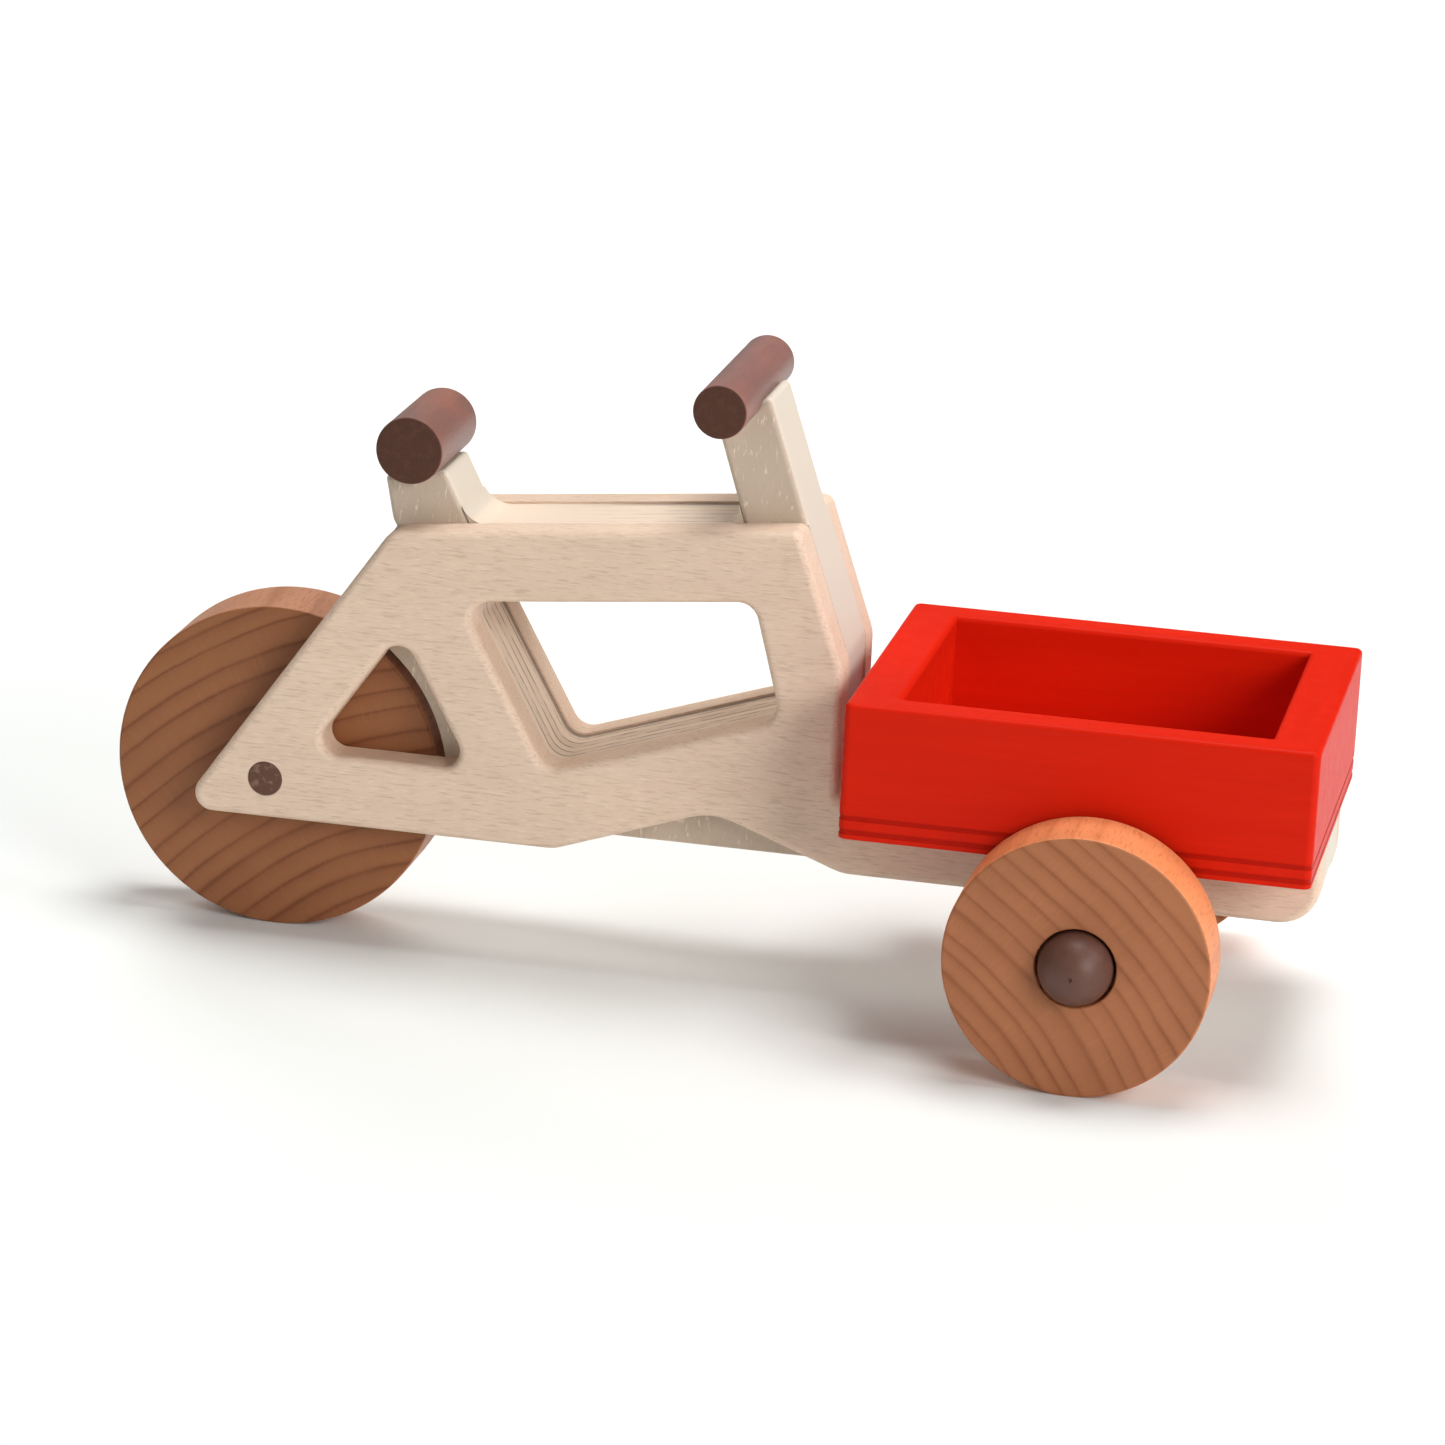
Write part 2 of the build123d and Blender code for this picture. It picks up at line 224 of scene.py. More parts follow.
# one layer of plywood from glue line to glue line
PLY_SHADES = [(0.0, 1.0), (0.07, 0.7), (0.13, 0.0), (0.87, 0.0), (0.93, 0.7), (1.0, 1.0)]
PLY_WAVER = Pattern((0.06, 0.15, 0.06), detail=3.0, rough=0.6, shift=7.0, between=(-0.7, 0.7))
UNBROKEN_LINES = Pattern((0.13, 0.9, 0.13), detail=3.0, rough=0.65, shift=19.0, marks=(0.40, 0.54))
GRIT = Pattern((0.45, 1.9, 0.45), detail=4.0, rough=0.7, shift=15.0, marks=(0.54, 0.66))
EDGE_STREAKS = Pattern((0.05, 1.6, 0.05), detail=3.0, rough=0.6, shift=12.0)
ODD_PLY_FADE = (0.47, 0.53)
# strength of the torn grain and of the glue lines, on the hollow top and inside the window
TORN_STRENGTH = (0.25, 1.0)
LINE_STRENGTH = (0.6, 1.0)
ODD_PLY_SHARE = 0.06
GRIT_SHARE = 0.24
LINE_SHARE = 0.8
JOINT_AND_GAP_SHADE_SHARE = 0.75
CORE_EDGE_DEEP = (0.770, 0.610, 0.480)
CORE_EDGE_PALE = (0.860, 0.725, 0.595)
# the dark of glue lines and torn grain, which also serves as painted shade in the gap along the left plate
CORE_GLUE_AND_GAP_SHADE = (0.190, 0.135, 0.100)
CORE_SANDED = (0.670, 0.605, 0.515)

# saddle, handlebar and rear axle
STAIN_PATCHES = Pattern((0.10, 0.05, 0.10), marks=(0.35, 0.65))
STAIN_STREAKS = Pattern((1.2, 0.10, 1.2), detail=3.0, rough=0.6, shift=2.0)
STAIN_PORES = Pattern((2.6, 0.35, 2.6), rough=0.6, shift=4.0, marks=(0.58, 0.75))
END_SPECKS = Pattern((1.6, 0.5, 1.6), detail=3.0, rough=0.6, shift=6.0, between=(0.82, 1.17))
END_FLECKS = Pattern((0.5, 0.2, 0.5), detail=3.0, rough=0.6, shift=8.0, marks=(0.5, 0.64))
STREAK_SHADES = (0.85, 1.15)
STAIN_PORE_SHARE = 0.4
STREAK_HEIGHT = 0.6
STAIN_END_START = (0.6, 0.95)
STAIN_ROUGHNESS = (0.42, 0.62)
STAIN_RELIEF = 0.03 * MM
STAIN_SHEEN = 0.12
STAIN_SHEEN_ROUGHNESS = 0.4
SADDLE_SEED = 1.0
BAR_SEED = 8.0
AXLE_SEED = 5.0
SADDLE_BROWN = (0.195, 0.092, 0.074)
SADDLE_RED = (0.260, 0.101, 0.070)
BAR_BROWN = (0.205, 0.100, 0.086)
BAR_RED = (0.265, 0.110, 0.088)
DOWEL_END = (0.080, 0.030, 0.018)
DOWEL_END_FLECK = (0.092, 0.036, 0.022)
AXLE_SIDE = (0.20, 0.10, 0.07)
AXLE_END = (0.120, 0.056, 0.037)
AXLE_END_FLECK = (0.230, 0.130, 0.090)

# caps of the axle pegs
CAP_TONE = Pattern((0.25, 0.12, 0.25))
CAP_STREAKS = Pattern((1.4, 0.25, 1.4), detail=3.0, rough=0.6, shift=3.0)
CAP_ROUGHNESS = (0.4, 0.52)
CAP_RELIEF = 0.015 * MM
CAP_DARK = (0.092, 0.037, 0.026)
CAP_LIGHT = (0.138, 0.062, 0.045)

# red paint, by the direction of the grain under it
PAINT_GRAIN = {
    "X": Pattern((0.05, 1.1, 1.1), detail=3.0, rough=0.6),
    "Y": Pattern((1.1, 0.05, 1.1), detail=3.0, rough=0.6),
}
PAINT_TONE = {
    "X": Pattern((0.015, 0.22, 0.22), shift=6.0),
    "Y": Pattern((0.22, 0.015, 0.22), shift=6.0),
}
PAINT_BRUSH = Pattern((0.25, 0.25, 0.25), shift=11.0)
PAINT_GRAIN_SHADES = (0.94, 1.06)
PAINT_GRAIN_HEIGHT = 0.7
PAINT_ROUGHNESS = (0.34, 0.48)
PAINT_RELIEF = 0.05 * MM
BAND_SOFTNESS = 0.3
BAND_SHARE = 0.6
RED_DEEP = (0.580, 0.0120, 0.0026)
RED_BRIGHT = (0.675, 0.0170, 0.0038)
RED_EDGE = (0.300, 0.004, 0.001)


# ---------------------------------------------------------------- meshes


def new_piece(name, bm, node, material):
    """Turn a bmesh into a smooth-shaded piece that stands for a CAD node and rides on its body."""
    mesh = bpy.data.meshes.new(name)
    bm.to_mesh(mesh)
    bm.free()
    mesh.shade_smooth()
    mesh.set_sharp_from_angle(angle=SHARP_ANGLE)
    mesh.materials.append(material)
    piece = bpy.data.objects.new(name, mesh)
    bpy.context.scene.collection.objects.link(piece)
    normals = piece.modifiers.new("weighted_normals", "WEIGHTED_NORMAL")
    normals.keep_sharp = True
    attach(piece, body_of(node))
    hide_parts(node)


def body_of(node):
    bodies = frame["record"]["behaviour"]["bodies"]
    return next(body for body, nodes in bodies.items() if node in nodes)


def middle_of(node):
    low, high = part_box(node)
    return (low + high) / 2


def quarter_turn(steps):
    """Angles from 0 to a right angle, both included."""
    return [math.pi / 2 * step / steps for step in range(steps + 1)]


def rounded(corners, radii):
    """Points of a closed outline in a plane, with each square corner rounded by its own radius."""
    points = []
    for i, radius in enumerate(radii):
        corner = Vector(corners[i])
        if not radius:
            points.append(corner)
            continue
        before = (Vector(corners[i - 1]) - corner).normalized() * radius
        after = (Vector(corners[(i + 1) % len(corners)]) - corner).normalized() * radius
        for turn in quarter_turn(ARC_STEPS):
            points.append(corner + before * (1 - math.sin(turn)) + after * (1 - math.cos(turn)))
    return points


def circle(bm, radius, y, centre):
    """Vertices of a circle about the Y axis through a centre, or one vertex where the radius is nothing."""
    steps = TURN_STEPS if radius > SAME_PLACE else 1
    points = []
    for step in range(steps):
        turn = 2 * math.pi * step / TURN_STEPS
        place = (centre.x + radius * math.cos(turn), y, centre.z + radius * math.sin(turn))
        points.append(bm.verts.new(place))
    return points


def turned(profile, centre):
    """Lathe work: a closed profile of (radius, y) spun about the Y axis through a centre."""
    bm = bmesh.new()
    rings = [circle(bm, radius, y, centre) for radius, y in profile]
    for i, near in enumerate(rings):
        far = rings[(i + 1) % len(rings)]
        if len(near) == len(far) == 1:
            continue
        for step in range(TURN_STEPS):
            after = (step + 1) % TURN_STEPS
            corners = [near[step % len(near)], near[after % len(near)]]
            corners += [far[after % len(far)], far[step % len(far)]]
            bm.faces.new(list(dict.fromkeys(corners)))
    bmesh.ops.recalc_face_normals(bm, faces=bm.faces)
    return bm


def make_rear_wheel(material):
    low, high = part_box("rear_wheel")
    radius = (high.z - low.z) / 2
    corners = [(BORE_RADIUS, low.y), (radius, low.y), (radius, high.y), (BORE_RADIUS, high.y)]
    profile = rounded(corners, [BORE_EDGE, WHEEL_EDGE, WHEEL_EDGE, BORE_EDGE])
    new_piece("turned_rear_wheel", turned(profile, middle_of("rear_wheel")), "rear_wheel", material)


def make_front_wheel(side, out, material):
    """Front wheel with a sink for the peg's head; out is +1 on the left and -1 on the right."""
    node = f"front_wheel_{side}"
    low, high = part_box(node)
    radius = (high.z - low.z) / 2
    inner, outer = (low.y, high.y) if out > 0 else (high.y, low.y)
    sink = outer - out * SINK_DEPTH
    corners = [(BORE_RADIUS, inner), (radius, inner), (radius, outer)]
    corners += [(SINK_RADIUS, outer), (SINK_RADIUS, sink), (BORE_RADIUS, sink)]
    profile = rounded(corners, [BORE_EDGE, WHEEL_EDGE, WHEEL_EDGE, SINK_EDGE, 0, BORE_EDGE])
    new_piece(f"turned_front_wheel_{side}", turned(profile, middle_of(node)), node, material)


def make_peg(side, out, material):
    """Axle peg: a shank, a head and a domed cap with the small pit that the lathe centre leaves."""
    node = f"axle_peg_{side}"
    low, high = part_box(node)
    shank_end, pole = (low.y, high.y) if out > 0 else (high.y, low.y)
    dome = pole - out * PEG_HEAD_RADIUS
    head = dome - out * PEG_HEAD_THICKNESS
    profile = []
    for turn in quarter_turn(DIMPLE_STEPS)[:-1]:
        depth = PEG_DIMPLE_RADIUS * math.cos(turn)
        profile.append((PEG_DIMPLE_RADIUS * math.sin(turn), pole - out * depth))
    brim = math.asin(PEG_DIMPLE_RADIUS / PEG_HEAD_RADIUS)
    for step in range(DOME_STEPS + 1):
        turn = brim + (math.pi / 2 - brim) * step / DOME_STEPS
        profile.append((PEG_HEAD_RADIUS * math.sin(turn), dome + out * PEG_HEAD_RADIUS * math.cos(turn)))
    for turn in quarter_turn(ARC_STEPS):
        radius = PEG_HEAD_RADIUS - PEG_HEAD_EDGE * (1 - math.cos(turn))
        profile.append((radius, head + out * PEG_HEAD_EDGE * (1 - math.sin(turn))))
    profile += [(PEG_RADIUS, head), (PEG_RADIUS, shank_end), (0, shank_end)]
    new_piece(f"turned_axle_peg_{side}", turned(profile, middle_of(node)), node, material)


def make_dowel(node, edge, material):
    low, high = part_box(node)
    radius = (high.z - low.z) / 2
    corners = [(0, low.y), (radius, low.y), (radius, high.y), (0, high.y)]
    profile = rounded(corners, [0, edge, edge, 0])
    new_piece(f"{node}_dowel", turned(profile, middle_of(node)), node, material)


def soften(bm, width, wanted):
    """Round those sharp edges that are wanted, as by sanding."""
    sharp = [edge for edge in bm.edges
             if len(edge.link_faces) == 2 and edge.calc_face_angle() > SHARP_ANGLE and wanted(edge)]
    bmesh.ops.bevel(bm, geom=sharp, offset=width, segments=EDGE_STEPS, profile=0.5, affect="EDGES",
                    clamp_overlap=True)


def sawn(node):
    """The CAD node's solid as one clean bmesh."""
    bm = bmesh.new()
    bm.from_mesh(frame["nodes"][node].data)
    bmesh.ops.remove_doubles(bm, verts=bm.verts, dist=SAME_PLACE)
    bmesh.ops.dissolve_limit(bm, angle_limit=FLAT_ANGLE, verts=bm.verts, edges=bm.edges)
    return bm


def make_sawn(node, material):
    bm = sawn(node)
    soften(bm, SANDED_EDGE, lambda edge: True)
    new_piece(f"sanded_{node}", bm, node, material)


def make_side_wall(side, material):
    """Side wall of the box, with its inner rim rounded where it lies beside the hollow."""
    node = f"box_side_wall_{side}"
    bm = sawn(node)
    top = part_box(node)[1].z
    hollow_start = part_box("box_rear_wall")[1].x
    hollow_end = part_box("box_front_wall")[0].x
    for x in (hollow_start, hollow_end):
        everything = bm.verts[:] + bm.edges[:] + bm.faces[:]
        bmesh.ops.bisect_plane(bm, geom=everything, plane_co=(x, 0, 0), plane_no=(1, 0, 0))

    def on_rim(edge):
        first, second = (vert.co for vert in edge.verts)
        on_top = min(first.z, second.z) > top - SAME_PLACE
        after_start = min(first.x, second.x) > hollow_start - SAME_PLACE
        before_end = max(first.x, second.x) < hollow_end + SAME_PLACE
        return on_top and after_start and before_end

    soften(bm, PAINTED_EDGE, on_rim)
    new_piece(f"painted_{node}", bm, node, material)


def make_end_wall(end, material):
    """End wall of the box: square where it meets the side walls, with its inner rim rounded."""
    node = f"box_{end}_wall"
    bm = sawn(node)
    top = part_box(node)[1].z

    def on_rim(edge):
        first, second = (vert.co for vert in edge.verts)
        across = abs(first.y - second.y) > SAME_PLACE
        return min(first.z, second.z) > top - SAME_PLACE and across

    soften(bm, PAINTED_EDGE, on_rim)
    new_piece(f"painted_{node}", bm, node, material)


def make_box_floor(material):
    """Floor panel of the box: a rounded outline with two shallow bands, and a raised middle."""
    low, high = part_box("box_floor")
    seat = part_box("box_rear_wall")[0].z
    hollow_low = Vector((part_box("box_rear_wall")[1].x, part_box("box_side_wall_right")[1].y))
    hollow_high = Vector((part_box("box_front_wall")[0].x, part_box("box_side_wall_left")[0].y))
    bm = bmesh.new()

    def ring(lowest, highest, corner_round, z):
        corners = [(lowest.x, lowest.y), (highest.x, lowest.y)]
        corners += [(highest.x, highest.y), (lowest.x, highest.y)]
        return [bm.verts.new((point.x, point.y, z)) for point in rounded(corners, [corner_round] * 4)]

    def level(inset, z):
        shrink = Vector((inset, inset))
        return ring(low.xy + shrink, high.xy - shrink, FLOOR_CORNER_ROUND, z)

    rings = []
    for turn in quarter_turn(ARC_STEPS):
        inset = FLOOR_EDGE_ROUND * (1 - math.sin(turn))
        rings.append(level(inset, low.z + FLOOR_EDGE_ROUND * (1 - math.cos(turn))))
    for start, end in FLOOR_BANDS:
        rings.append(level(0, low.z + start))
        rings.append(level(FLOOR_BAND_DEPTH, low.z + start + FLOOR_BAND_DEPTH))
        rings.append(level(FLOOR_BAND_DEPTH, low.z + end - FLOOR_BAND_DEPTH))
        rings.append(level(0, low.z + end))
    rings.append(level(0, seat))
    rings.append(ring(hollow_low, hollow_high, GLUED_EDGE, seat))
    rings.append(ring(hollow_low, hollow_high, GLUED_EDGE, high.z))
    for near, far in zip(rings, rings[1:]):
        for i in range(len(near)):
            after = (i + 1) % len(near)
            bm.faces.new([near[i], near[after], far[after], far[i]])
    bm.faces.new(rings[0])
    bm.faces.new(rings[-1])
    bmesh.ops.recalc_face_normals(bm, faces=bm.faces)
    new_piece("painted_box_floor", bm, "box_floor", material)


# ---------------------------------------------------------------- materials

# places of the colour sockets among all the sockets of a mix node
MIX_UNDER = 6
MIX_OVER = 7
MIX_RESULT = 2


class Look:
    """A material under construction: each call adds a node and returns its output."""

    def __init__(self, name, specular):
        self.material = bpy.data.materials.new(name)
        self.material.use_nodes = True
        self.tree = self.material.node_tree
        self.surface = self.tree.nodes["Principled BSDF"]
        self.surface.inputs["Specular IOR Level"].default_value = specular
        coordinates = self.tree.nodes.new("ShaderNodeTexCoord")
        self.place = self.vector("MULTIPLY", coordinates.outputs["Object"], (1 / MM,) * 3)
        self.normal = coordinates.outputs["Normal"]

    def connect(self, value, socket):
        if isinstance(value, bpy.types.NodeSocket):
            self.tree.links.new(value, socket)
        else:
            socket.default_value = value

    def maths(self, operation, *values, clamp=False):
        node = self.tree.nodes.new("ShaderNodeMath")
        node.operation = operation
        node.use_clamp = clamp
        for value, socket in zip(values, node.inputs):
            self.connect(value, socket)
        return node.outputs[0]

    def plus(self, first, second):
        return self.maths("ADD", first, second)

    def minus(self, first, second):
        return self.maths("SUBTRACT", first, second)

    def times(self, *values):
        product = values[0]
        for value in values[1:]:
            product = self.maths("MULTIPLY", product, value)
        return product

    def inverse(self, share):
        return self.maths("SUBTRACT", 1.0, share)

    def spread(self, share, start, end):
        """A share of 0 to 1 spread from start to end."""
        return self.maths("MULTIPLY_ADD", share, end - start, start)

    def step(self, value, low, high):
        """Smooth step from 0 at low to 1 at high."""
        node = self.tree.nodes.new("ShaderNodeMapRange")
        node.interpolation_type = "SMOOTHSTEP"
        self.connect(value, node.inputs["Value"])
        node.inputs["From Min"].default_value = low
        node.inputs["From Max"].default_value = high
        return node.outputs["Result"]

    def vector(self, operation, *values):
        node = self.tree.nodes.new("ShaderNodeVectorMath")
        node.operation = operation
        for value, socket in zip(values, node.inputs):
            self.connect(value, socket)
        return node.outputs["Value" if operation == "LENGTH" else "Vector"]

    def split(self, vector):
        node = self.tree.nodes.new("ShaderNodeSeparateXYZ")
        self.connect(vector, node.inputs[0])
        return node.outputs[0], node.outputs[1], node.outputs[2]

    def joined(self, x, y, z):
        node = self.tree.nodes.new("ShaderNodeCombineXYZ")
        for value, socket in zip((x, y, z), node.inputs):
            self.connect(value, socket)
        return node.outputs[0]

    def facing_side(self, low, high):
        """Share that fades in as the normal's Y part grows from low to high, as on flat faces and ends."""
        return self.step(self.maths("ABSOLUTE", self.split(self.normal)[1]), low, high)

    def pattern(self, pattern, seed=0.0, place=None):
        """Value of a pattern, at the surface's own place or another; seed sets pieces apart."""
        node = self.tree.nodes.new("ShaderNodeTexNoise")
        node.inputs["Scale"].default_value = 1.0
        node.inputs["Detail"].default_value = pattern.detail
        node.inputs["Roughness"].default_value = pattern.rough
        place = self.place if place is None else place
        scaled = self.vector("MULTIPLY_ADD", place, pattern.per_mm, (pattern.shift + seed,) * 3)
        self.connect(scaled, node.inputs["Vector"])
        value = node.outputs["Fac"]
        if pattern.marks:
            value = self.step(value, *pattern.marks)
        if pattern.between != (0.0, 1.0):
            value = self.spread(value, *pattern.between)
        return value

    def ramp(self, value, stops):
        node = self.tree.nodes.new("ShaderNodeValToRGB")
        self.connect(value, node.inputs["Fac"])
        elements = node.color_ramp.elements
        while len(elements) < len(stops):
            elements.new(0.5)
        for element, (position, shade) in zip(elements, stops):
            element.position = position
            element.color = (shade, shade, shade, 1)
        return node.outputs["Color"]

    def mix(self, share, under, over):
        """The colour under, covered by a share of the colour over."""
        node = self.tree.nodes.new("ShaderNodeMix")
        node.data_type = "RGBA"
        self.connect(share, node.inputs[0])
        for value, socket in ((under, node.inputs[MIX_UNDER]), (over, node.inputs[MIX_OVER])):
            self.connect((*value, 1.0) if isinstance(value, tuple) else value, socket)
        return node.outputs[MIX_RESULT]

    def scaled(self, colour, share):
        node = self.tree.nodes.new("ShaderNodeVectorMath")
        node.operation = "SCALE"
        self.connect(colour, node.inputs[0])
        self.connect(share, node.inputs["Scale"])
        return node.outputs["Vector"]

    def finish(self, colour, roughness, height, relief):
        self.connect(colour, self.surface.inputs["Base Color"])
        self.connect(roughness, self.surface.inputs["Roughness"])
        bump = self.tree.nodes.new("ShaderNodeBump")
        bump.inputs["Distance"].default_value = relief
        self.connect(height, bump.inputs["Height"])
        self.connect(bump.outputs["Normal"], self.surface.inputs["Normal"])
        return self.material


def darkened(colour):
    """The late wood that goes with a colour of early wood."""
    return tuple(shade * share for shade, share in zip(colour, LATE_WOOD))


def late_wood(look, radius, pitch, vivid, seed):
    """Share of late wood at a distance from the pith, in rings that wander and differ in width."""
    wander = look.pattern(RING_WANDER, seed)
    ripple = look.pattern(RING_RIPPLE, seed)
    fray = look.pattern(RING_FRAY, seed)
    bent = look.plus(look.plus(radius, wander), look.plus(ripple, fray))
    uneven = look.pattern(RING_UNEVEN, seed, place=look.joined(bent, 0.0, 0.0))
    phase = look.maths("FRACT", look.maths("DIVIDE", look.plus(bent, uneven), pitch))
    clarity = look.pattern(RING_CLARITY, seed)
    strength = look.spread(clarity, FAINTEST_RING * vivid, STRONGEST_RING * vivid)
    return look.maths("MULTIPLY", look.ramp(phase, RING_SHADES), strength, clamp=True)


def ring_wood(name, centre, pith, pitch, vivid, pale, side, seed):
    """Cross-cut beech: growth rings and fine rays on the faces, long grain with flecks across the rim."""
    look = Look(name, specular=0.3)
    dark = darkened(pale)
    side_dark = darkened(side)
    x, y, z = look.split(look.place)
    east = look.minus(x, centre.x / MM + pith[0])
    north = look.minus(z, centre.z / MM + pith[1])
    radius = look.vector("LENGTH", look.joined(east, 0.0, north))
    late = late_wood(look, radius, pitch, vivid, seed)
    turn = look.times(look.maths("ARCTAN2", north, east), pitch * RAYS_PER_RING)
    rays = look.pattern(RAYS, seed, place=look.joined(turn, radius, y))
    pores = look.pattern(WHEEL_PORES, seed)
    dashes = look.pattern(RIM_DASHES, seed)
    face = look.mix(late, pale, dark)
    face = look.mix(look.times(pores, PORE_SHARE), face, dark)
    face = look.mix(look.times(rays, RAY_SHARE), face, side)
    rim = look.mix(look.times(late, RIM_RING_SHARE), side, side_dark)
    rim = look.mix(look.times(dashes, RIM_DASH_SHARE), rim, side_dark)
    colour = look.mix(look.facing_side(*WHEEL_FACE_START), rim, face)
    colour = look.scaled(colour, look.pattern(WHEEL_CLOUD, seed))
    roughness = look.spread(late, *WHEEL_ROUGHNESS)
    height = look.minus(look.times(late, LATE_WOOD_HEIGHT), look.times(pores, WHEEL_PORE_DEPTH))
    return look.finish(colour, roughness, height, WHEEL_RELIEF)


def plate_wood():
    """Pale close-grained wood with short dashes along X."""
    look = Look("plate_wood", specular=0.3)
    drift = look.pattern(PLATE_DRIFT)
    x, y, z = look.split(look.place)
    place = look.joined(x, y, look.plus(z, drift))
    dark_dash = look.pattern(DARK_DASHES, place=place)
    pale_dash = look.pattern(PALE_DASHES, place=place)
    tone = look.pattern(PLATE_TONE, place=place)
    colour = look.mix(tone, PLATE_DEEP, PLATE_PALE)
    colour = look.mix(look.times(dark_dash, DARK_DASH_SHARE), colour, PLATE_DASH)
    colour = look.mix(look.times(pale_dash, PALE_DASH_SHARE), colour, PLATE_FLECK)
    colour = look.scaled(colour, look.pattern(PLATE_CLOUD))
    roughness = look.spread(dark_dash, *PLATE_ROUGHNESS)
    height = look.minus(look.times(pale_dash, PALE_DASH_HEIGHT), dark_dash)
    return look.finish(colour, roughness, height, PLATE_RELIEF)


def core_faces(look, x, y, z):
    """Sanded faces of the core: their colour, and the pale upright flecks on them."""
    bend = look.pattern(CORE_BEND)
    place = look.joined(look.plus(x, bend), look.plus(y, bend), z)
    fleck = look.pattern(CORE_FLECKS, place=place)
    pore = look.pattern(CORE_PORES, place=place)
    face = look.mix(look.pattern(CORE_TONE), CORE_FACE_DEEP, CORE_FACE_PALE)
    face = look.mix(look.times(fleck, CORE_FLECK_SHARE), face, CORE_FLECK)
    face = look.mix(look.times(pore, CORE_PORE_SHARE), face, CORE_PORE)
    return face, fleck


def core_edges(look, x, y, z, core):
    """Edges of the core: their colour, and how deep its broken glue lines and its torn grain are.

    The layers show inside the window and on the hollow top; posts and head are sanded smooth.
    """
    right, left = (corner.y / MM for corner in core)
    above_top = look.minus(z, look.maths("MULTIPLY_ADD", x, CORE_TOP_RISE, CORE_TOP))
    below_posts = look.inverse(look.step(above_top, *POSTS_START))
    behind_head = look.inverse(look.step(x, *HEAD_START))
    inside = look.inverse(look.step(above_top, *WINDOW_EDGE))
    along_top = look.maths("MAXIMUM", inside, look.step(x, *TOP_LINES_FADE_IN))
    layered = look.times(below_posts, behind_head, along_top)
    torn = look.times(layered, look.spread(inside, *TORN_STRENGTH))

    from_right = look.minus(y, right)
    layer = look.times(look.plus(from_right, look.pattern(PLY_WAVER)), CORE_PLIES / (left - right))
    line = look.ramp(look.maths("FRACT", layer), PLY_SHADES)
    line = look.times(line, look.pattern(UNBROKEN_LINES), layered, look.spread(inside, *LINE_STRENGTH))
    odd = look.step(look.maths("FRACT", look.times(layer, 0.5)), *ODD_PLY_FADE)
    grit = look.times(odd, look.pattern(GRIT), torn)
    right_joint = look.inverse(look.step(from_right, *RIGHT_JOINT))
    # painted shade: the gap between the core and the left plate is darkened in colour, as its shadow
    left_gap_shade = look.step(look.minus(y, left), *LEFT_GAP_SHADE)
    joint_and_gap_shade = look.times(look.maths("MAXIMUM", right_joint, left_gap_shade), layered)

    edge = look.mix(look.pattern(EDGE_STREAKS), CORE_EDGE_DEEP, CORE_EDGE_PALE)
    edge = look.mix(look.times(below_posts, behind_head), CORE_SANDED, edge)
    edge = look.mix(look.times(odd, torn, ODD_PLY_SHARE), edge, CORE_GLUE_AND_GAP_SHADE)
    edge = look.mix(look.times(grit, GRIT_SHARE), edge, CORE_GLUE_AND_GAP_SHADE)
    edge = look.mix(look.times(line, LINE_SHARE), edge, CORE_GLUE_AND_GAP_SHADE)
    # a dark glue line at the right plate, and painted shade of the gap at the left plate
    edge = look.mix(look.times(joint_and_gap_shade, JOINT_AND_GAP_SHADE_SHARE), edge, CORE_GLUE_AND_GAP_SHADE)
    return edge, line, grit


def core_wood(core):
    """Plywood core: pale upright flecks on its faces, thin ragged layers on its sawn edges."""
    look = Look("core_wood", specular=0.3)
    x, y, z = look.split(look.place)
    face, fleck = core_faces(look, x, y, z)
    edge, line, grit = core_edges(look, x, y, z, core)
    flat = look.facing_side(*CORE_FACE_START)
    colour = look.mix(flat, edge, face)
    roughness = look.spread(line, *CORE_ROUGHNESS)
    height = look.minus(look.times(fleck, flat), look.times(look.plus(line, grit), GLUE_LINE_DEPTH))
    return look.finish(colour, roughness, height, CORE_RELIEF)


def stained_wood(name, side, side_red, end, end_fleck, seed):
    """Stained round wood: long grain on the side, dark end grain on the ends."""
    look = Look(name, specular=0.25)
    streak = look.pattern(STAIN_STREAKS, seed)
    pore = look.pattern(STAIN_PORES, seed)
    long_grain = look.mix(look.pattern(STAIN_PATCHES, seed), side, side_red)
    long_grain = look.scaled(long_grain, look.spread(streak, *STREAK_SHADES))
    long_grain = look.mix(look.times(pore, STAIN_PORE_SHARE), long_grain, end)
    end_grain = look.mix(look.pattern(END_FLECKS, seed), end, end_fleck)
    end_grain = look.scaled(end_grain, look.pattern(END_SPECKS, seed))
    on_end = look.facing_side(*STAIN_END_START)
    colour = look.mix(on_end, long_grain, end_grain)
    roughness = look.spread(on_end, *STAIN_ROUGHNESS)
    height = look.minus(look.times(streak, STREAK_HEIGHT), pore)
    look.surface.inputs["Sheen Weight"].default_value = STAIN_SHEEN
    look.surface.inputs["Sheen Roughness"].default_value = STAIN_SHEEN_ROUGHNESS
    return look.finish(colour, roughness, height, STAIN_RELIEF)


def peg_wood():
    """Turned dark brown cap under a satin lacquer."""
    look = Look("peg_wood", specular=0.35)
    streak = look.pattern(CAP_STREAKS)
    colour = look.mix(look.pattern(CAP_TONE), CAP_DARK, CAP_LIGHT)
    colour = look.scaled(colour, look.spread(streak, *STREAK_SHADES))
    roughness = look.spread(streak, *CAP_ROUGHNESS)
    return look.finish(colour, roughness, streak, CAP_RELIEF)


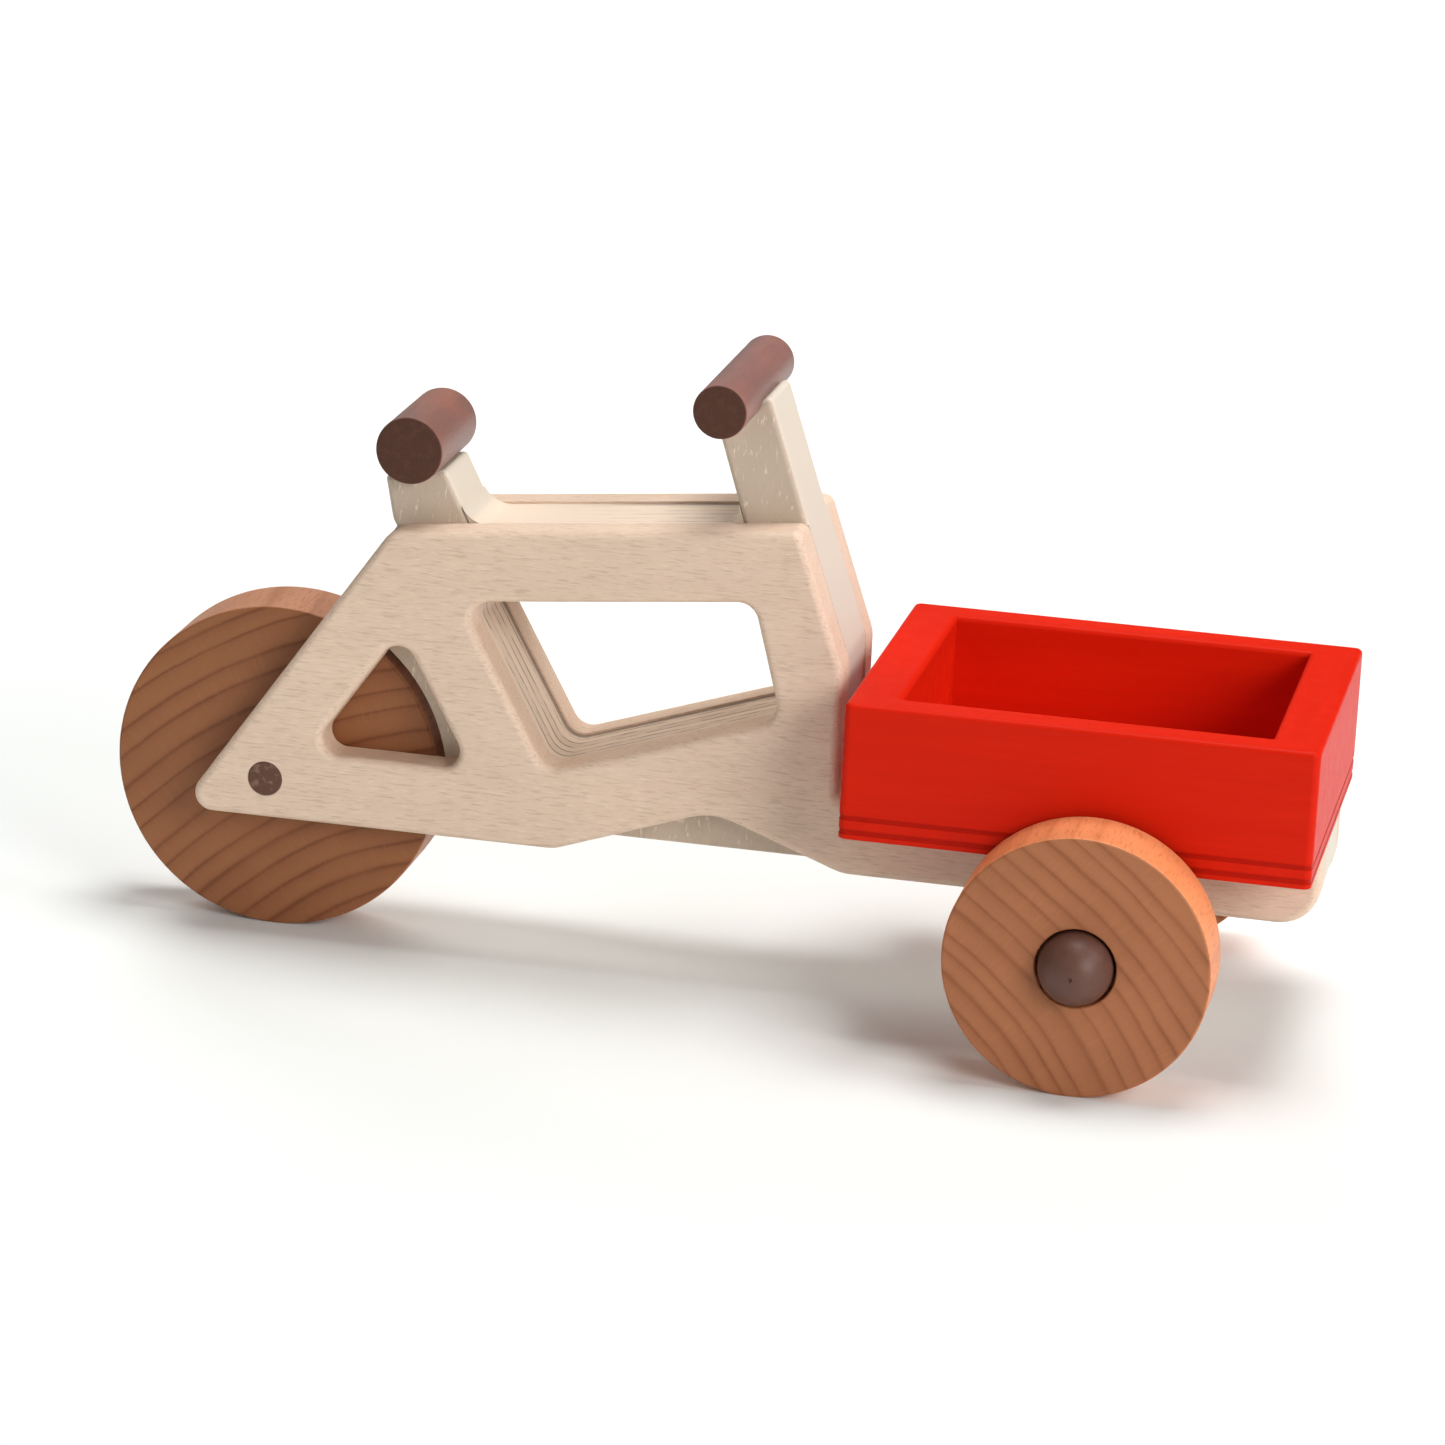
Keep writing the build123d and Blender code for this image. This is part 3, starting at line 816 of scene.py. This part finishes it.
def red_paint(name, along, bands=()):
    """Satin red paint over wood; along is the grain's direction, bands are heights with darker paint."""
    look = Look(name, specular=0.06)
    grain = look.pattern(PAINT_GRAIN[along])
    brush = look.pattern(PAINT_BRUSH)
    colour = look.mix(look.pattern(PAINT_TONE[along]), RED_DEEP, RED_BRIGHT)
    colour = look.scaled(colour, look.spread(grain, *PAINT_GRAIN_SHADES))
    z = look.split(look.place)[2]
    for low, high in bands:
        above_low = look.step(z, low - BAND_SOFTNESS, low + BAND_SOFTNESS)
        below_high = look.inverse(look.step(z, high - BAND_SOFTNESS, high + BAND_SOFTNESS))
        colour = look.mix(look.times(above_low, below_high, BAND_SHARE), colour, RED_EDGE)
    roughness = look.spread(brush, *PAINT_ROUGHNESS)
    height = look.maths("MULTIPLY_ADD", grain, PAINT_GRAIN_HEIGHT, brush)
    return look.finish(colour, roughness, height, PAINT_RELIEF)


# ---------------------------------------------------------------- stage, light and camera


def make_floor():
    bm = bmesh.new()
    bmesh.ops.create_grid(bm, x_segments=1, y_segments=1, size=FLOOR_SIZE / 2)
    mesh = bpy.data.meshes.new("floor")
    bm.to_mesh(mesh)
    bm.free()
    floor = bpy.data.objects.new("floor", mesh)
    bpy.context.scene.collection.objects.link(floor)
    material = bpy.data.materials.new("floor_paper")
    material.use_nodes = True
    surface = material.node_tree.nodes["Principled BSDF"]
    surface.inputs["Base Color"].default_value = (*FLOOR_COLOUR, 1)
    surface.inputs["Roughness"].default_value = FLOOR_ROUGHNESS
    surface.inputs["Specular IOR Level"].default_value = FLOOR_SPECULAR
    mesh.materials.append(material)


def direction(turn, height):
    """Unit vector at a compass angle from +X and a height above the floor, both in degrees."""
    turn = math.radians(turn)
    height = math.radians(height)
    flat = math.cos(height)
    return Vector((flat * math.cos(turn), flat * math.sin(turn), math.sin(height)))


def make_lamp(name, turn, height, size, power, gloss):
    """A round soft lamp that points at the toy; without gloss it does not show in reflections."""
    away = direction(turn, height)
    light = bpy.data.lights.new(name, "AREA")
    light.shape = "DISK"
    light.size = size
    light.energy = power
    light.color = LAMP_COLOUR
    lamp = bpy.data.objects.new(name, light)
    lamp.visible_glossy = gloss
    lamp.location = Vector(CAMERA_TARGET) + away * LAMP_DISTANCE
    lamp.rotation_euler = (-away).to_track_quat("-Z", "Y").to_euler()
    bpy.context.scene.collection.objects.link(lamp)


def make_sky():
    world = bpy.data.worlds.new("pale_sky")
    world.use_nodes = True
    background = world.node_tree.nodes["Background"]
    background.inputs["Color"].default_value = (1, 1, 1, 1)
    background.inputs["Strength"].default_value = SKY_STRENGTH
    bpy.context.scene.world = world


def make_camera():
    """Camera that looks at the target from its azimuth (0 looks along +Y) and elevation, then rolls."""
    azimuth = math.radians(CAMERA_AZIMUTH)
    elevation = math.radians(CAMERA_ELEVATION)
    flat = math.cos(elevation)
    forward = Vector((-math.sin(azimuth) * flat, math.cos(azimuth) * flat, -math.sin(elevation)))
    level = Vector((math.cos(azimuth), math.sin(azimuth), 0))
    right = Matrix.Rotation(-math.radians(CAMERA_ROLL), 3, forward) @ level
    above = right.cross(forward)
    data = bpy.data.cameras.new("camera")
    data.lens = CAMERA_LENS
    data.sensor_width = CAMERA_SENSOR
    camera = bpy.data.objects.new("camera", data)
    turn = Matrix((right, above, -forward)).transposed().to_4x4()
    place = Vector(CAMERA_TARGET) - forward * CAMERA_DISTANCE
    camera.matrix_world = Matrix.Translation(place) @ turn
    bpy.context.scene.collection.objects.link(camera)
    bpy.context.scene.camera = camera


# ---------------------------------------------------------------- the toy


def make_wheels():
    rear = ring_wood("rear_wheel_beech", middle_of("rear_wheel"), REAR_PITH, REAR_RING,
                     REAR_RING_STRENGTH, REAR_WHEEL_FACE, REAR_WHEEL_RIM, REAR_SEED)
    make_rear_wheel(rear)
    for side, out in (("left", 1), ("right", -1)):
        centre = middle_of(f"front_wheel_{side}")
        wood = ring_wood(f"front_wheel_{side}_beech", centre, FRONT_PITH, FRONT_RING,
                         FRONT_RING_STRENGTH, WHEEL_FACE, WHEEL_RIM, FRONT_SEEDS[side])
        make_front_wheel(side, out, wood)


def make_frame():
    plates = plate_wood()
    make_sawn("frame_core", core_wood(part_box("frame_core")))
    make_sawn("axle_block", plates)
    for side in ("left", "right"):
        make_sawn(f"frame_plate_{side}", plates)


def make_round_wood():
    saddle = stained_wood("saddle_stain", SADDLE_BROWN, SADDLE_RED, DOWEL_END, DOWEL_END_FLECK, SADDLE_SEED)
    bar = stained_wood("handlebar_stain", BAR_BROWN, BAR_RED, DOWEL_END, DOWEL_END_FLECK, BAR_SEED)
    axle = stained_wood("axle_stain", AXLE_SIDE, AXLE_SIDE, AXLE_END, AXLE_END_FLECK, AXLE_SEED)
    make_dowel("saddle", DOWEL_EDGE, saddle)
    make_dowel("handlebar", DOWEL_EDGE, bar)
    make_dowel("rear_axle", AXLE_EDGE, axle)
    cap = peg_wood()
    make_peg("left", 1, cap)
    make_peg("right", -1, cap)


def make_box():
    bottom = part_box("box_floor")[0].z
    bands = [((bottom + low) / MM, (bottom + high) / MM) for low, high in FLOOR_BANDS]
    make_box_floor(red_paint("red_paint_floor", "Y", bands))
    lengthways = red_paint("red_paint_sides", "X")
    crossways = red_paint("red_paint_ends", "Y")
    for side in ("left", "right"):
        make_side_wall(side, lengthways)
    for end in ("rear", "front"):
        make_end_wall(end, crossways)


make_frame()
make_wheels()
make_round_wood()
make_box()
make_floor()
make_sky()
for lamp, settings in LAMPS.items():
    make_lamp(lamp, **settings)
make_camera()
bpy.context.scene.view_settings.view_transform = "Standard"
